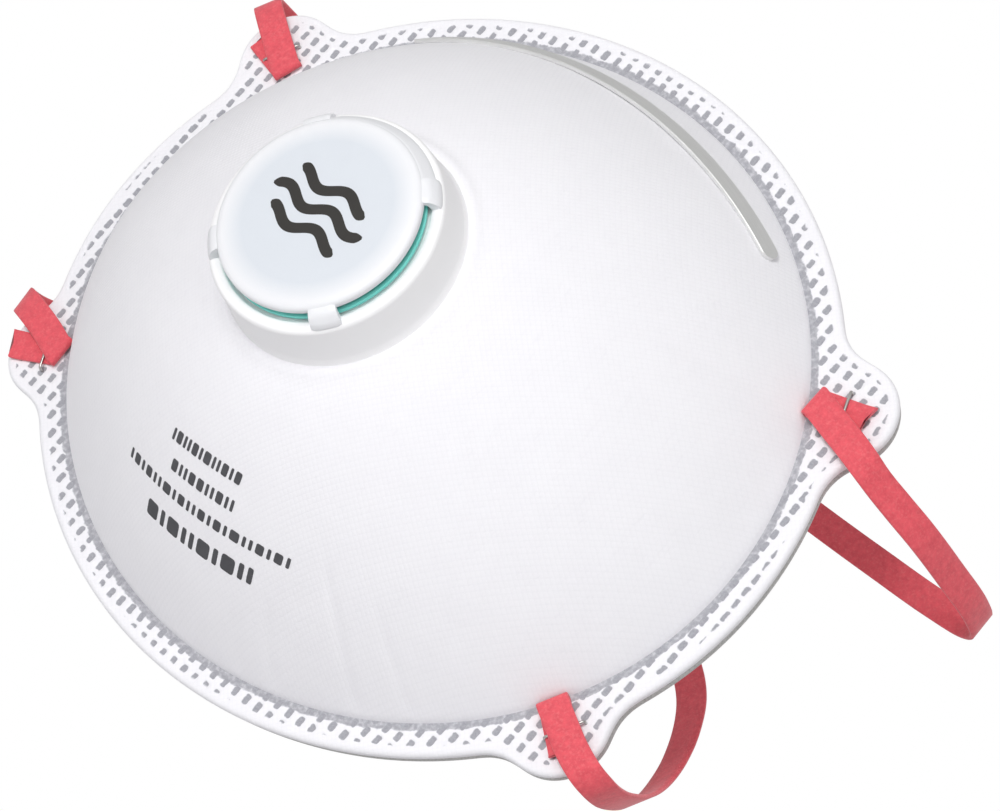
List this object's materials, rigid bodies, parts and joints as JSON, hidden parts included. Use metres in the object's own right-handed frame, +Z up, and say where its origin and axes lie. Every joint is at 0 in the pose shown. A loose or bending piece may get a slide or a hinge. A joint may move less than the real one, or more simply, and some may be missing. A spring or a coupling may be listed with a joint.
{
  "type": "disposable dust mask",
  "caption": "Moulded cup dust mask with stapled elastic head bands, a nose strip, a foam face seal and a round exhalation valve.",
  "frame": {"origin": "middle of the face opening, on the plane where the foam seal meets the face", "axes": "+Z up to the nose as worn, +X to the right as seen from in front, -Y out of the front of the cup; the face side is +Y"},
  "size_m": [0.1665, 0.0929, 0.1291],
  "materials": {
    "cover_nonwoven": "white spunbond nonwoven with a fine pressed diamond pattern",
    "filter_nonwoven": "soft meltblown filter web",
    "carbon_nonwoven": "grey felt that shows through where the layers are pressed",
    "lining_nonwoven": "smooth white shaping lining",
    "seal_foam": "fine grey closed-cell foam",
    "nose_aluminium": "bare soft strip with faint rolling lines",
    "valve_plastic": "satin off-white polypropylene",
    "valve_silicone": "satin teal silicone",
    "staple_steel": "bright drawn flat wire",
    "band_elastic": "matt red elastic band with a fine fleck"
  },
  "bodies": {
    "mask": {"outer_cover": "cover_nonwoven", "filter_layer": "filter_nonwoven", "carbon_layer": "carbon_nonwoven", "inner_lining": "lining_nonwoven", "face_seal_foam": "seal_foam", "nose_clip": "nose_aluminium", "valve_seat": "valve_plastic", "valve_cap": "valve_plastic", "valve_clamp_ring": "valve_plastic", "staple_upper_left": "staple_steel", "staple_upper_right": "staple_steel", "staple_lower_left": "staple_steel", "staple_lower_right": "staple_steel", "upper_band_end_left": "band_elastic", "upper_band_end_right": "band_elastic", "lower_band_end_left": "band_elastic", "lower_band_end_right": "band_elastic"},
    "upper_band": {"upper_band": "band_elastic"},
    "lower_band": {"lower_band": "band_elastic"},
    "valve_disc": {"valve_disc": "valve_silicone"}
  },
  "joints": [
    {"name": "upper_band_swing", "type": "hinge", "parent": "mask", "child": "upper_band", "pos_m": [-0.00005, -0.00425, 0.03065], "axis": [0.9969, 0.0007, -0.078], "range_deg": [-15, 60], "stiffness_Nm_per_rad": 0.02},
    {"name": "lower_band_swing", "type": "hinge", "parent": "mask", "child": "lower_band", "pos_m": [-0.0005, -0.0043, -0.03425], "axis": [0.9986, 0, -0.0534], "range_deg": [-50, 12], "stiffness_Nm_per_rad": 0.02},
    {"name": "valve_disc_lift", "type": "slide", "parent": "mask", "child": "valve_disc", "axis": [0, -1, 0], "range_m": [0, 0.0009], "stiffness_N_per_m": 20}
  ]
}
